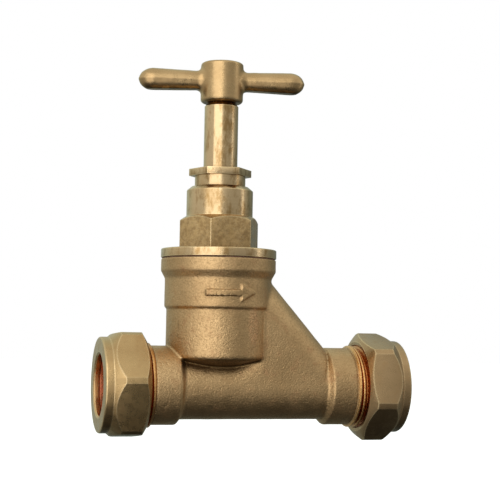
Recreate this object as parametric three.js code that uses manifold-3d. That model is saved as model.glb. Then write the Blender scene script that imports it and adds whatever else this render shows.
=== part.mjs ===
// A 15 mm compression stop valve with a crutch handle, in millimetres, +Z up.
// Origin: where the pipe axis (X, flow towards +X) meets the spindle axis (Z).
import * as THREE from 'three';
import { mergeVertices } from 'three/addons/utils/BufferGeometryUtils.js';
import Module from 'manifold-3d';

const wasm = await Module();
wasm.setup();

// ---- driving dimensions ----

const PIPE_R = 7.65;               // socket for a 15 mm pipe
const BORE_R = 6.3;                // water way through the body
const TUBE_R = 8.4;                // outside of the body's tube
const COLLAR_R = 9.75;             // plain collar behind each thread
const THREAD_R = 10.2;             // crest of the G1/2 end threads
const THREAD_PITCH = 1.814;
const GAP = 0.3;                   // between pieces that touch on the real valve
const EDGE = 0.5;                  // chamfer on a machined edge
const FINE_EDGE = 0.25;            // chamfer round the flanges
const OVER = 1;                    // how far a cutting shape runs past what it cuts

const INLET_MOUTH = -18.6;         // plane of the inlet nut's inner end
const OUTLET_MOUTH = 36.85;        // plane of the outlet nut's inner end
const THREAD_COVER = 3.9;          // how far each nut is screwed on
const INLET_COLLAR = [-17.2, -10.9];
const OUTLET_COLLAR = [27.7, 34.4];
const COLLAR_SLOPE = 1.5;          // length of the cone from the tube up to a collar
const SOCKET_DEPTH = 11;
const MOUTH_CONE = { r: 9.3, depth: 2 };

const NUT = {
  acrossFlats: 24.6, cornerR: 13.8, mouthR: 11.4, bossR: 11.73, length: 11.1,
  mouthChamfer: 1.5, bossChamfer: 2.4, bossLength: 2.1,
  seatStart: 8.2, seatEnd: 9.7, seatR: 9.2, boreR: 10.5, boreMouthR: 12.1, endConeR: 9.05,
};
const INLET_NUT_CORNER = 7;        // degrees from the front (-Y) up to a corner
const OUTLET_NUT_CORNER = -18.5;
const OLIVE = { length: 5.2, cone: 1.4, endR: 8.15, middleR: 8.8, boreR: 7.6, fromMouth: 8.9 };

const FLANGE_R = 14.5;             // joint between body and bonnet
const BODY_TOP = 31.1;
const BONNET_BASE = 31.95;
const WASHER = { r: 13.9, innerR: 11.2, low: 31.4, high: 31.65 };
const BODY_FLANGE_LOW = 28.9;
const BAND_R = 13.4;               // upper band of the body, under its flange
const BAND = [19.3, 26.6];
const CUP_R = 12.85;
const CUP_LOW = 6.7;
const CUP_EDGE = 0.9;
const BAND_STEP = 0.3;             // half the height of the step below the band
const CHAMBER_R = 10.9;
const CHAMBER_LOW = 9.8;
const SEAT = { r: 7.9, portR: 6, top: 11 };

const SLOPE_FOOT = 25.1;           // X where the sloping outlet meets the pipe axis
const SLOPE_DEG = 48.9;            // its angle below the horizontal
const SLOPE_LENGTH = 29;
const SLOPE_BORE = { r: 4.9, shift: 0.5 };

const BONNET = {
  flangeTop: 33.95, hexTop: 42.3, crown: 1.4, acrossFlats: 18,
  barrelR: 8.35, barrelTop: 49.76, barrelChamfer: 1.1,
  skirtR: 10.6, skirtLow: 22.5, skirtBoreR: 9, skirtBoreTop: 28,
};
const BONNET_TURN = 4;             // degrees about Z
const GLAND_BORE = { r: 6.7, low: 41.5 };
const STEM_R = 4.28;
const STEM_HOLE_R = 4.6;
const SPINDLE_THREAD = { r: 5, holeR: 5.3, low: 24, high: 39.9 };
const SPINDLE_TOP = 71.13;
const STEM_NECK = 0.75;            // chamfer at the top of the stem
const SPINDLE_SOCKET = { r: 2.5, depth: 11 };

const GLAND_NUT = { acrossFlats: 13.75, low: 46, hexLow: 52.44, top: 54.22, shankR: 6.38 };
const GLAND_NUT_TURN = -8.5;
const PACKING = { innerR: 4.6, outerR: 6.35, low: 41.8, height: 1.2 };
const FOLLOWER = { low: 44.8, high: 45.7 };

const CRUTCH_TURN = -9.6;          // degrees about Z from the pipe axis
const HUB = { r: 5.37, low: 71.43, top: 81.43, chamfer: 0.5 };
const ARM = { z: 76.7, reach: 21, rootR: 2.35, endR: 2.85 };
const TANG = { acrossFlats: 5, top: 81.1 };
const ARM_ROUNDING = 5;            // steps round the end of an arm

const JUMPER = {
  plateR: 8.5, plateLow: 22.1, plateTop: 23.7, stemR: 2.2, stemTop: 33, studR: 1.9, studLow: 16,
};
const JUMPER_WASHER = { r: 8.7, innerR: 2.25, low: 18.8, high: 21.8 };
const JUMPER_NUT = { acrossFlats: 7.6, low: 16.6, high: 18.5 };

const ARROW = { z: 22.9, length: 12, stem: 1.5, head: 4.4, headLength: 4, raised: 0.45 };

const ROUND = 40;                  // sides of a large turned surface
const SMALL_ROUND = 28;

// ---- solids ----

const radians = THREE.MathUtils.degToRad;

/** A closed geometry as a Manifold, its shared vertices merged. */
function solid(geometry) {
  const bare = geometry.clone();
  bare.deleteAttribute('normal');
  bare.deleteAttribute('uv');
  const merged = mergeVertices(bare, 1e-4);
  const index = merged.index.array;
  const faces = [];
  for (let i = 0; i < index.length; i += 3) {
    const [a, b, c] = index.slice(i, i + 3);
    if (a !== b && b !== c && c !== a) faces.push(a, b, c);
  }
  return new wasm.Manifold(new wasm.Mesh({
    numProp: 3,
    vertProperties: new Float32Array(merged.attributes.position.array),
    triVerts: new Uint32Array(faces),
  }));
}

/** A turned solid about Z: [radius, z] points, upwards on the outside. */
function turned(profile, sides = ROUND) {
  const points = [...profile, profile[0]].map(([r, z]) => new THREE.Vector2(r, z));
  return new THREE.LatheGeometry(points, sides).rotateX(Math.PI / 2);
}

function rod(r, low, high, sides = ROUND) {
  return turned([[0, low], [r, low], [r, high], [0, high]], sides);
}

function ring(innerR, outerR, low, high, sides = ROUND) {
  return turned([[innerR, low], [outerR, low], [outerR, high], [innerR, high]], sides);
}

/** A prism of regular section about Z, with a flat facing -Y before the turn. */
function prism(acrossFlats, low, high, turnDeg = 0, sides = 6) {
  const cornerR = acrossFlats / 2 / Math.cos(Math.PI / sides);
  const geometry = new THREE.CylinderGeometry(cornerR, cornerR, high - low, sides);
  geometry.rotateY(Math.PI / sides).rotateX(Math.PI / 2);
  geometry.translate(0, 0, (low + high) / 2);
  return geometry.rotateZ(radians(turnDeg));
}

/** Lays a shape made along +Z along the pipe: +1 towards the outlet, -1 the inlet. */
function alongPipe(geometry, x = 0, side = 1) {
  return geometry.rotateY(side * Math.PI / 2).translate(x, 0, 0);
}

/** A flat outline in the X-Z plane, drawn out along Y from -half to +half. */
function slab(points, half) {
  const outline = new THREE.Shape(points.map(([x, z]) => new THREE.Vector2(x, z)));
  const geometry = new THREE.ExtrudeGeometry(outline, { depth: 2 * half, bevelEnabled: false });
  return geometry.rotateX(Math.PI / 2).translate(0, half, 0);
}

function join(...geometries) {
  return geometries.map(solid).reduce((whole, piece) => whole.add(piece));
}

// ---- the body casting ----

/** A round bar lying along the sloping outlet passage, moved out by a shift. */
function slopingRod(r, shift, start, end) {
  const geometry = rod(r, start, end).rotateY(radians(SLOPE_DEG - 90));
  const across = radians(SLOPE_DEG);
  const x = SLOPE_FOOT + shift * Math.sin(across);
  return geometry.translate(x, 0, shift * Math.cos(across));
}

/** The flat-sided web that fills between the cup, the slope and the tube. */
function slopeWeb() {
  const rise = SLOPE_LENGTH * Math.sin(radians(SLOPE_DEG));
  const run = SLOPE_LENGTH * Math.cos(radians(SLOPE_DEG));
  return slab([[SLOPE_FOOT - run, 0], [SLOPE_FOOT, 0], [SLOPE_FOOT - run, rise]], TUBE_R);
}

function cup() {
  return turned([
    [0, CUP_LOW], [CUP_R - CUP_EDGE, CUP_LOW], [CUP_R, CUP_LOW + CUP_EDGE],
    [CUP_R, BAND[0] - BAND_STEP], [BAND_R, BAND[0] + BAND_STEP], [BAND_R, BAND[1]],
    [FLANGE_R - FINE_EDGE, BODY_FLANGE_LOW - FINE_EDGE], [FLANGE_R, BODY_FLANGE_LOW],
    [FLANGE_R, BODY_TOP - FINE_EDGE], [FLANGE_R - FINE_EDGE, BODY_TOP], [0, BODY_TOP],
  ]);
}

/** One threaded pipe end with its collar, as a profile along +Z from the tube. */
function pipeEnd(collarStart, collarEnd, threadEnd) {
  return turned([
    [0, collarStart - COLLAR_SLOPE], [TUBE_R, collarStart - COLLAR_SLOPE],
    [COLLAR_R, collarStart], [COLLAR_R, collarEnd], [THREAD_R, collarEnd + EDGE],
    [THREAD_R, threadEnd - EDGE], [THREAD_R - EDGE, threadEnd], [0, threadEnd],
  ]);
}

/** The flow arrow cast on the band, front and back, pointing to the outlet. */
function flowArrow() {
  const tip = ARROW.length / 2;
  const neck = tip - ARROW.headLength;
  const outline = [
    [-tip, -ARROW.stem / 2], [neck, -ARROW.stem / 2], [neck, -ARROW.head / 2],
    [tip, 0], [neck, ARROW.head / 2], [neck, ARROW.stem / 2], [-tip, ARROW.stem / 2],
  ];
  const bar = solid(slab(outline.map(([x, z]) => [x, z + ARROW.z]), FLANGE_R));
  const raisedBand = rod(BAND_R + ARROW.raised, ARROW.z - ARROW.head, ARROW.z + ARROW.head);
  return bar.intersect(solid(raisedBand));
}

/** The pipe socket with its coned mouth, opening along +Z at the thread's end. */
function socket(threadEnd) {
  const widening = OVER * (MOUTH_CONE.r - PIPE_R) / MOUTH_CONE.depth;
  return turned([
    [0, threadEnd - SOCKET_DEPTH], [PIPE_R, threadEnd - SOCKET_DEPTH],
    [PIPE_R, threadEnd - MOUTH_CONE.depth],
    [MOUTH_CONE.r + widening, threadEnd + OVER], [0, threadEnd + OVER],
  ]);
}

const inletEnd = -INLET_MOUTH + THREAD_COVER;
const outletEnd = OUTLET_MOUTH + THREAD_COVER;

function valveBody() {
  const outside = join(
    alongPipe(rod(TUBE_R, INLET_COLLAR[1], OUTLET_COLLAR[0])),
    alongPipe(pipeEnd(-INLET_COLLAR[1], -INLET_COLLAR[0], inletEnd), 0, -1),
    alongPipe(pipeEnd(OUTLET_COLLAR[0], OUTLET_COLLAR[1], outletEnd)),
    cup(), slopingRod(TUBE_R, 0, 0, SLOPE_LENGTH), slopeWeb(),
  ).add(flowArrow());
  const seatRing = rod(SEAT.r, CHAMBER_LOW - OVER, SEAT.top);
  const ways = join(
    alongPipe(rod(BORE_R, -SEAT.portR, inletEnd - SOCKET_DEPTH + OVER), 0, -1),
    alongPipe(socket(inletEnd), 0, -1),
    alongPipe(rod(BORE_R, SLOPE_FOOT - BORE_R, outletEnd - SOCKET_DEPTH + OVER)),
    alongPipe(socket(outletEnd)),
    rod(SEAT.portR, 0, SEAT.top + OVER),
    slopingRod(SLOPE_BORE.r, SLOPE_BORE.shift, OVER, SLOPE_LENGTH),
  );
  return outside
    .subtract(solid(rod(CHAMBER_R, CHAMBER_LOW, BODY_TOP + OVER)))
    .add(solid(seatRing))
    .subtract(ways);
}

// ---- the headwork ----

function bonnet() {
  const shell = turned([
    [0, BONNET.skirtLow], [BONNET.skirtR - EDGE, BONNET.skirtLow],
    [BONNET.skirtR, BONNET.skirtLow + EDGE], [BONNET.skirtR, BONNET_BASE],
    [FLANGE_R - FINE_EDGE, BONNET_BASE], [FLANGE_R, BONNET_BASE + FINE_EDGE],
    [FLANGE_R, BONNET.flangeTop - FINE_EDGE], [FLANGE_R - FINE_EDGE, BONNET.flangeTop],
    [BONNET.barrelR, BONNET.flangeTop],
    [BONNET.barrelR, BONNET.barrelTop - BONNET.barrelChamfer],
    [BONNET.barrelR - BONNET.barrelChamfer, BONNET.barrelTop], [0, BONNET.barrelTop],
  ]);
  const cornerR = BONNET.acrossFlats / Math.sqrt(3);
  const hexagon = prism(BONNET.acrossFlats, BONNET.flangeTop - OVER, BONNET.hexTop, BONNET_TURN);
  const crown = turned([
    [0, BONNET.flangeTop - 2 * OVER], [cornerR + OVER, BONNET.flangeTop - 2 * OVER],
    [cornerR + OVER, BONNET.hexTop - BONNET.crown],
    [BONNET.barrelR, BONNET.hexTop], [0, BONNET.hexTop],
  ]);
  const bore = turned([
    [0, BONNET.skirtLow - OVER], [BONNET.skirtBoreR, BONNET.skirtLow - OVER],
    [BONNET.skirtBoreR, BONNET.skirtBoreTop], [SPINDLE_THREAD.holeR, BONNET.skirtBoreTop],
    [SPINDLE_THREAD.holeR, SPINDLE_THREAD.high + GAP], [STEM_HOLE_R, SPINDLE_THREAD.high + GAP],
    [STEM_HOLE_R, GLAND_BORE.low], [GLAND_BORE.r, GLAND_BORE.low],
    [GLAND_BORE.r, BONNET.barrelTop + OVER], [0, BONNET.barrelTop + OVER],
  ]);
  return solid(shell).add(solid(hexagon).intersect(solid(crown))).subtract(solid(bore));
}

function bonnetWasher() {
  return solid(ring(WASHER.innerR, WASHER.r, WASHER.low, WASHER.high));
}

function packingRing(low) {
  return solid(ring(PACKING.innerR, PACKING.outerR, low, low + PACKING.height, SMALL_ROUND));
}

function glandFollower() {
  return solid(ring(STEM_HOLE_R, PACKING.outerR, FOLLOWER.low, FOLLOWER.high, SMALL_ROUND));
}

function glandNut() {
  const shank = rod(GLAND_NUT.shankR, GLAND_NUT.low, GLAND_NUT.hexLow + OVER, SMALL_ROUND);
  const head = prism(GLAND_NUT.acrossFlats, GLAND_NUT.hexLow, GLAND_NUT.top, GLAND_NUT_TURN);
  const hole = rod(STEM_HOLE_R, GLAND_NUT.low - OVER, GLAND_NUT.top + OVER, SMALL_ROUND);
  return join(shank, head).subtract(solid(hole));
}

function spindle() {
  const shaft = turned([
    [0, SPINDLE_THREAD.low], [SPINDLE_THREAD.r - EDGE, SPINDLE_THREAD.low],
    [SPINDLE_THREAD.r, SPINDLE_THREAD.low + EDGE], [SPINDLE_THREAD.r, SPINDLE_THREAD.high - EDGE],
    [STEM_R, SPINDLE_THREAD.high], [STEM_R, SPINDLE_TOP - STEM_NECK],
    [STEM_R - STEM_NECK, SPINDLE_TOP], [0, SPINDLE_TOP],
  ], SMALL_ROUND);
  const tang = prism(TANG.acrossFlats, SPINDLE_TOP - OVER, TANG.top, CRUTCH_TURN, 4);
  const hole = rod(SPINDLE_SOCKET.r, SPINDLE_THREAD.low - OVER,
    SPINDLE_THREAD.low + SPINDLE_SOCKET.depth, SMALL_ROUND);
  return join(shaft, tang).subtract(solid(hole));
}

/** The crutch head: a hub on the tang with two tapering arms across it. */
function crutchHead() {
  const hub = turned([
    [0, HUB.low], [HUB.r - HUB.chamfer, HUB.low], [HUB.r, HUB.low + HUB.chamfer],
    [HUB.r, HUB.top - HUB.chamfer], [HUB.r - HUB.chamfer, HUB.top], [0, HUB.top],
  ]);
  const rounding = Array.from({ length: ARM_ROUNDING + 1 }, (_, i) => {
    const angle = (i / ARM_ROUNDING) * Math.PI / 2;
    return [ARM.endR * Math.cos(angle), ARM.reach - ARM.endR * (1 - Math.sin(angle))];
  });
  const arms = [1, -1].map((side) => alongPipe(
    turned([[0, 0], [ARM.rootR, 0], ...rounding.slice(0, -1), [0, ARM.reach]], SMALL_ROUND), 0, side,
  ).translate(0, 0, ARM.z).rotateZ(radians(CRUTCH_TURN)));
  const hole = prism(TANG.acrossFlats + 2 * GAP, HUB.low - OVER, HUB.top + OVER, CRUTCH_TURN, 4);
  return join(hub, ...arms).subtract(solid(hole));
}

// ---- the jumper valve that closes on the seat ----

function jumper() {
  return solid(turned([
    [0, JUMPER.studLow], [JUMPER.studR, JUMPER.studLow], [JUMPER.studR, JUMPER.plateLow],
    [JUMPER.plateR, JUMPER.plateLow], [JUMPER.plateR, JUMPER.plateTop],
    [JUMPER.stemR, JUMPER.plateTop], [JUMPER.stemR, JUMPER.stemTop - EDGE],
    [JUMPER.stemR - EDGE, JUMPER.stemTop], [0, JUMPER.stemTop],
  ], SMALL_ROUND));
}

function jumperWasher() {
  const { innerR, r, low, high } = JUMPER_WASHER;
  return solid(ring(innerR, r, low, high, SMALL_ROUND));
}

function jumperNut() {
  const hexagon = prism(JUMPER_NUT.acrossFlats, JUMPER_NUT.low, JUMPER_NUT.high);
  const hole = rod(JUMPER.studR + GAP, JUMPER_NUT.low - OVER, JUMPER_NUT.high + OVER, SMALL_ROUND);
  return solid(hexagon).subtract(solid(hole));
}

// ---- compression nuts and olives ----

/** A compression nut along +Z from its mouth, turned about its axis. */
function compressionNut(turnDeg) {
  const shoulder = NUT.length - NUT.bossLength;
  const outline = turned([
    [0, 0], [NUT.mouthR, 0], [NUT.cornerR, NUT.mouthChamfer],
    [NUT.cornerR, shoulder - NUT.bossChamfer], [NUT.bossR, shoulder],
    [NUT.bossR, NUT.length - EDGE], [NUT.bossR - EDGE, NUT.length], [0, NUT.length],
  ]);
  const hexagon = solid(prism(NUT.acrossFlats, 0, NUT.length, turnDeg));
  const bore = turned([
    [0, -OVER], [NUT.boreMouthR, -OVER], [NUT.boreR, EDGE], [NUT.boreR, NUT.seatStart],
    [NUT.seatR, NUT.seatStart], [PIPE_R, NUT.seatEnd], [PIPE_R, NUT.length - EDGE],
    [NUT.endConeR, NUT.length + OVER], [0, NUT.length + OVER],
  ]);
  return solid(outline).intersect(hexagon).subtract(solid(bore));
}

function olive() {
  const inner = OLIVE.fromMouth - OLIVE.length;
  return solid(turned([
    [OLIVE.boreR, inner], [OLIVE.endR, inner], [OLIVE.middleR, inner + OLIVE.cone],
    [OLIVE.middleR, OLIVE.fromMouth - OLIVE.cone], [OLIVE.endR, OLIVE.fromMouth],
    [OLIVE.boreR, OLIVE.fromMouth],
  ]));
}

// ---- materials ----

function metal(color, roughness) {
  return new THREE.MeshStandardMaterial({ color, roughness, metalness: 1 });
}

function plain(color, roughness) {
  return new THREE.MeshStandardMaterial({ color, roughness, metalness: 0 });
}

const castBrass = metal('#b08d57', 0.5);
const turnedBrass = metal('#c2a066', 0.25);
const forgedBrass = metal('#a98253', 0.42);
const oliveBrass = metal('#c98a4b', 0.3);
const fibre = plain('#5a3a2a', 0.8);
const packingPlastic = plain('#dcdcd4', 0.6);
const rubber = plain('#1e1d1c', 0.75);

// ---- the assembly ----

const valve = new THREE.Group();

/** Adds one named piece to a group. */
function place(group, name, material, piece) {
  const { vertProperties, triVerts } = piece.getMesh();
  const geometry = new THREE.BufferGeometry();
  geometry.setAttribute('position', new THREE.BufferAttribute(vertProperties, 3));
  geometry.setIndex(new THREE.BufferAttribute(triVerts, 1));
  geometry.computeVertexNormals();
  const mesh = new THREE.Mesh(geometry, material);
  mesh.name = name;
  group.add(mesh);
}

/** A group whose +Z points along the pipe, away from the body, from a nut's mouth. */
function pipeEndGroup(mouthX, side) {
  const group = new THREE.Group();
  group.position.set(mouthX, 0, 0);
  group.rotation.y = side * Math.PI / 2;
  valve.add(group);
  return group;
}

place(valve, 'valve_body', castBrass, valveBody());
place(valve, 'bonnet_washer', fibre, bonnetWasher());
place(valve, 'bonnet', turnedBrass, bonnet());
place(valve, 'packing_ring_lower', packingPlastic, packingRing(PACKING.low));
place(valve, 'packing_ring_upper', packingPlastic, packingRing(PACKING.low + PACKING.height + GAP));
place(valve, 'gland_follower', turnedBrass, glandFollower());
place(valve, 'gland_nut', turnedBrass, glandNut());
place(valve, 'spindle', turnedBrass, spindle());
place(valve, 'crutch_head', forgedBrass, crutchHead());
place(valve, 'jumper', turnedBrass, jumper());
place(valve, 'jumper_washer', rubber, jumperWasher());
place(valve, 'jumper_nut', turnedBrass, jumperNut());

const inlet = pipeEndGroup(INLET_MOUTH, -1);
place(inlet, 'inlet_nut', forgedBrass, compressionNut(INLET_NUT_CORNER - 30));
place(inlet, 'inlet_olive', oliveBrass, olive());

const outlet = pipeEndGroup(OUTLET_MOUTH, 1);
place(outlet, 'outlet_nut', forgedBrass, compressionNut(-OUTLET_NUT_CORNER - 30));
place(outlet, 'outlet_olive', oliveBrass, olive());

export default valve;
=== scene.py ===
import math

import bmesh
import bpy
import numpy as np
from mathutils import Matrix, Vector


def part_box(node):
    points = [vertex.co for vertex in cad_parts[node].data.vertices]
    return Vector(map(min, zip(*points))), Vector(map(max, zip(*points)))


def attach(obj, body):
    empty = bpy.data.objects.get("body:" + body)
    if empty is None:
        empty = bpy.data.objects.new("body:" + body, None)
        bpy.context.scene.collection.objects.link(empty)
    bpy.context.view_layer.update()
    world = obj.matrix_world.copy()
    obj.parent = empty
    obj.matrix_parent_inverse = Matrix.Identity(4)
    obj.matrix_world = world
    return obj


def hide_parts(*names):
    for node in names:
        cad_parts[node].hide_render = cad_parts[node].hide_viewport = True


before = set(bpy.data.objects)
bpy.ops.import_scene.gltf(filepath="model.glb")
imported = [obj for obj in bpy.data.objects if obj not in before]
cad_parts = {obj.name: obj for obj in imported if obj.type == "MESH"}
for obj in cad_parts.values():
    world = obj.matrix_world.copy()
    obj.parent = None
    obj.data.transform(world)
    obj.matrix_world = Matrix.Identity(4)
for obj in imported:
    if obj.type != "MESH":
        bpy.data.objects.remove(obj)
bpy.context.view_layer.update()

import openvdb
from mathutils import Matrix, Vector, noise

MM = 0.001


def lo(node):
    """Lowest corner of a CAD node, in millimetres."""
    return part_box(node)[0] / MM


def hi(node):
    """Highest corner of a CAD node, in millimetres."""
    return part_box(node)[1] / MM


# ---- sizes in millimetres, from the frame where a node's box gives them ----

# Names with _R are radii or half widths; pairs are (low, high) along an axis.

SEAM = 0.3                          # the visible joint under the bonnet
SEAM_GAP = 0.02                     # left free on each side of the washer in it
WASHER_BORE_R = 11.2
PIPE_R = 7.65
TUBE_R = 8.4
COLLAR_R = 9.75
COLLAR_SLOPE = 1.1                  # length of the cone from tube to collar
BAND_R = 13.4
CUP_R = 12.85
CUP_LOW = 6.7
CUP_DISH = 4                        # how far the cup's floor falls towards its middle
CUP_FILLET = 0.5
BAND = (19.3, 26.6)
FLANGE_R = hi("bonnet").x
FLANGE_LOW = 28.9
BODY_RISE = 0.35                    # closes most of the clearance that the CAD has at the washer
BODY_TOP = hi("valve_body").z + BODY_RISE
BONNET_BASE = BODY_TOP + SEAM
ARROW_RELIEF = 0.45
ARROW_FILLET = 0.3
CHAMBER_R = 10.9
CHAMBER_LOW = 9.8
SEAT_R = 7.9
SEAT_TOP = 11
PORT_R = 6
BORE_R = 6.3                        # the ways from the sockets
INLET_COLLAR = (-17.2, -10.8)
OUTLET_COLLAR = (28.1, 34.4)
SOCKET_DEPTH = 11
MOUTH_R = 9.3                       # the cone that takes the olive
MOUTH_DEPTH = 2
SLOPE_FOOT = 25.1                   # where the sloping outlet's axis meets the tube's
SLOPE = math.radians(48.9)
SLOPE_LENGTH = 29
WEB_START = -3
WEB_FADE = (1.5, 10)                # where the web's sides fade out of the round tube
SLOPE_BORE_R = 4.9
SLOPE_BORE_SHIFT = 0.5
CAST_LUMP = 4                       # width of the unevenness in the casting's skin
CAST_LUMP_HEIGHT = 0.035
CAST_SEED = 3
INLET_END = lo("valve_body").x
OUTLET_END = hi("valve_body").x

THREAD_CREST_R = 10.4
THREAD_ROOT_R = 9.35
THREAD_PITCH = 1.814
THREAD_FLANK = 2.6                  # steepness of the flanks; crests and roots are cut off flat
THREAD_TAPER = 0.6                  # length over which the thread rises at the mouth
THREAD_CLEARANCE = 0.1

NUT_FLAT_R = 12.3
NUT_CORNER_R = 13.79
NUT_MOUTH_R = 11.4
NUT_BOSS_R = 11.73
NUT_MOUTH_CHAMFER = 1.5
NUT_BOSS_CHAMFER = 2.4
NUT_BOSS_LENGTH = 2.1
NUT_SEAT = (8.2, 9.7)               # the cone that presses the olive
NUT_SEAT_R = 9.2
NUT_MINOR_R = THREAD_ROOT_R + 0.2
TAP_START = 0.2                     # from the nut's mouth
TAP_STOP = 0.3                      # short of the cone
OLIVE_R = 7.6
OLIVE_END_R = 8.15
OLIVE_PINCH = (8.4, 7.85)           # radii of the end pressed into the nut
OLIVE_PINCH_LENGTH = 0.5
OLIVE_SHOULDER = 1.4
INLET_NUT_CORNER = math.radians(7)
OUTLET_NUT_CORNER = math.radians(-18.5)

BARREL_R = 8.35
BONNET_FLAT_R = 9
BONNET_TURN = math.radians(4)
FLANGE_TOP = 33.95
HEX_TOP = 42.3
SPIGOT_R = 10.6                     # the bonnet's end inside the body
SPIGOT_BORE_R = 9
CROWN_R = 11                        # the cone that rounds the hexagon's corners
CROWN_DROP = 1.75
THREAD_BORE = (28, 40.2)            # where the spindle's thread runs in the bonnet
THREAD_BORE_R = 5.3
PACKING_FLOOR = 41.5
GLAND_BORE_R = 6.7
GLAND_FLAT_R = 6.875
GLAND_TURN = math.radians(-8.5)
GLAND_HEX_LOW = 52.44
GLAND_SHANK_R = 6.38
STEM_R = 4.28
STEM_HOLE_R = 4.5
STEM_TOP = 71.13
SPINDLE_FOOT_R = 5                  # the threaded part inside the bonnet
SPINDLE_FOOT_TOP = 39.9
JUMPER_HOLE_R = 2.5
JUMPER_HOLE_DEPTH = 11
CRUTCH_TURN = math.radians(-9.6)
HUB_R = 5.37
HUB_TOP = hi("crutch_head").z - 0.04
ARM_Z = 76.7
ARM_REACH = 21
ARM_ROOT_R = 2.35
ARM_END_R = 2.85
ARM_TIP = 3.7                       # length of the rounded, slightly pointed end
ARM_FILLET = 1.4
TANG_R = 2.5
TANG_CLEARANCE = 0.06
PARTING_RIDGE = 0.09                # left along the arms by the forging dies
PARTING_WIDTH = 0.4
ARM_FLAT = 0.3                      # cut off the underside of the arms
FORGED_LUMP = 3
FORGED_LUMP_HEIGHT = 0.03
FORGED_SEED = 11

ROUND = 192                         # sides of a turned surface
THREAD_ROUND = 144                  # sides of a threaded one
THREAD_STEP = 0.07
ARC = 5                             # steps in a rounded profile corner
PAST = 1                            # how far a cutter reaches past what it cuts
BODY_GRID, BODY_GRID_QUICK = 0.26, 0.6
CRUTCH_GRID, CRUTCH_GRID_QUICK = 0.15, 0.3
CASTING_SMOOTH = 40                 # degrees; sharper edges stay sharp on a cast or forged piece


# ---- mesh tools ----

def add_object(name, vertices, faces):
    """A mesh object from millimetre vertices."""
    mesh = bpy.data.meshes.new(name)
    mesh.from_pydata([Vector(v) * MM for v in vertices], [], faces)
    mesh.validate()
    obj = bpy.data.objects.new(name, mesh)
    bpy.context.scene.collection.objects.link(obj)
    return obj


def outwards(obj):
    """Turns every face of a closed mesh outwards."""
    bm = bmesh.new()
    bm.from_mesh(obj.data)
    bmesh.ops.recalc_face_normals(bm, faces=bm.faces)
    bm.to_mesh(obj.data)
    bm.free()
    return obj


def moved(obj, matrix):
    """Moves a mesh's vertices; the matrix works in millimetres."""
    scale = Matrix.Scale(MM, 4)
    obj.data.transform(scale @ matrix @ scale.inverted())
    return obj


def along_pipe(x, side=1):
    """Lays +Z along the pipe, towards the outlet (1) or the inlet (-1)."""
    return Matrix.Translation((x, 0, 0)) @ Matrix.Rotation(side * math.pi / 2, 4, "Y")


def apply_modifiers(obj):
    """Replaces a mesh by what its modifiers make of it."""
    depsgraph = bpy.context.evaluated_depsgraph_get()
    mesh = bpy.data.meshes.new_from_object(obj.evaluated_get(depsgraph))
    obj.modifiers.clear()
    old, obj.data = obj.data, mesh
    bpy.data.meshes.remove(old)
    return obj


def combine(target, tool, operation):
    """Joins to, cuts or intersects a closed mesh with another, which is used up."""
    modifier = target.modifiers.new("combine", "BOOLEAN")
    modifier.object = tool
    modifier.operation = operation
    modifier.solver = "MANIFOLD"
    apply_modifiers(target)
    bpy.data.objects.remove(tool)
    return target


def join(target, *tools):
    """Adds closed meshes to another."""
    for tool in tools:
        combine(target, tool, "UNION")
    return target


def cut(target, *tools):
    """Takes closed meshes out of another."""
    for tool in tools:
        combine(target, tool, "DIFFERENCE")
    return target


def bevel(obj, width, angle=30):
    """Rounds the edges sharper than the angle."""
    modifier = obj.modifiers.new("bevel", "BEVEL")
    modifier.width = width * MM
    modifier.segments = 2
    modifier.limit_method = "ANGLE"
    modifier.angle_limit = math.radians(angle)
    return apply_modifiers(obj)


def smooth(obj, angle=35):
    """Smooth shading with edges sharper than the angle kept."""
    obj.data.shade_smooth()
    obj.data.set_sharp_from_angle(angle=math.radians(angle))
    return obj


def rounded(points):
    """A closed (r, z) outline; a point with a third value gets an arc of that radius."""
    outline = []
    for i, point in enumerate(points):
        here = np.array(point[:2], float)
        if len(point) == 2:
            outline.append(tuple(here))
            continue
        before = np.array(points[i - 1][:2], float) - here
        after = np.array(points[(i + 1) % len(points)][:2], float) - here
        lengths = np.linalg.norm(before), np.linalg.norm(after)
        before, after = before / lengths[0], after / lengths[1]
        half = math.acos(np.clip(before @ after, -1, 1)) / 2
        radius = min(point[2], 0.49 * min(lengths) * math.tan(half))
        reach = radius / math.tan(half)
        middle = (before + after) / np.linalg.norm(before + after)
        centre = here + middle * radius / math.sin(half)
        first, last = here + before * reach - centre, here + after * reach - centre
        sweep = math.pi - 2 * half
        for step in range(ARC + 1):
            t = step / ARC
            a, b = math.sin((1 - t) * sweep), math.sin(t * sweep)
            outline.append(tuple(centre + (a * first + b * last) / math.sin(sweep)))
    return outline


def turned(name, points):
    """A solid turned about Z from a closed (r, z) outline."""
    outline = rounded(points)
    vertices, rings = [], []
    for r, z in outline:
        if r < 1e-6:
            rings.append([len(vertices)] * ROUND)
            vertices.append((0, 0, z))
            continue
        start = len(vertices)
        rings.append([start + i for i in range(ROUND)])
        for i in range(ROUND):
            angle = 2 * math.pi * i / ROUND
            vertices.append((r * math.cos(angle), r * math.sin(angle), z))
    faces = []
    for a, b in zip(rings, rings[1:] + rings[:1]):
        if a[0] == a[1] and b[0] == b[1]:
            continue
        for i in range(ROUND):
            j = (i + 1) % ROUND
            corners = [a[i], a[j], b[j], b[i]]
            faces.append(list(dict.fromkeys(corners)))
    return outwards(add_object(name, vertices, faces))


def rod(name, radius, low, high):
    """A plain cylinder about Z, for cutting holes."""
    return turned(name, [(0, low), (radius, low), (radius, high), (0, high)])


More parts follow.
